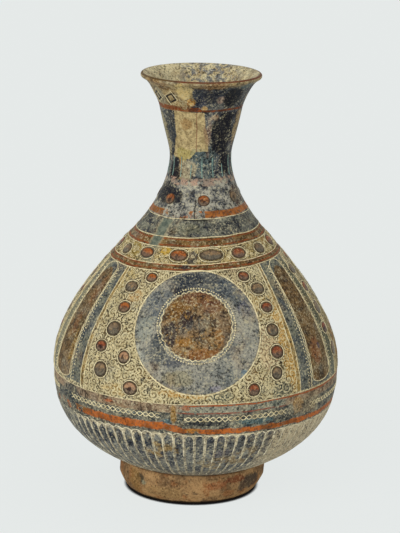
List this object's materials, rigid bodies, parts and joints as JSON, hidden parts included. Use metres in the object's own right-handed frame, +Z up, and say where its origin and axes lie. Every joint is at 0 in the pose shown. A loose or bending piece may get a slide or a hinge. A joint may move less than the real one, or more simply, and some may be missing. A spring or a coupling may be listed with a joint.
{
  "type": "pear-shaped bottle vase",
  "caption": "Pear-shaped ceramic bottle with a turned foot, a narrow neck, a flared mouth and worn painted bands, panels and flutes.",
  "frame": {"origin": "middle of the foot's resting face, on the surface that the vase stands on", "axes": "+Z up along the vase's axis; -Y is the front that the picture shows, with +X to its right"},
  "size_m": [0.2046, 0.2049, 0.304],
  "materials": {
    "bare_foot": "unglazed, stained earth",
    "glazed_bowl": "worn glaze with painted flutes and bands",
    "glazed_body": "worn glaze with painted panels",
    "glazed_neck": "worn dark glaze with painted lines",
    "glazed_mouth": "worn glaze with a painted band",
    "plaster_fill": "matt, rubbed plaster"
  },
  "bodies": {
    "root": {"foot_ring": "bare_foot", "lower_bowl": "glazed_bowl", "upper_body": "glazed_body", "neck": "glazed_neck", "mouth_flare": "glazed_mouth", "neck_fill": "plaster_fill"}
  },
  "joints": []
}
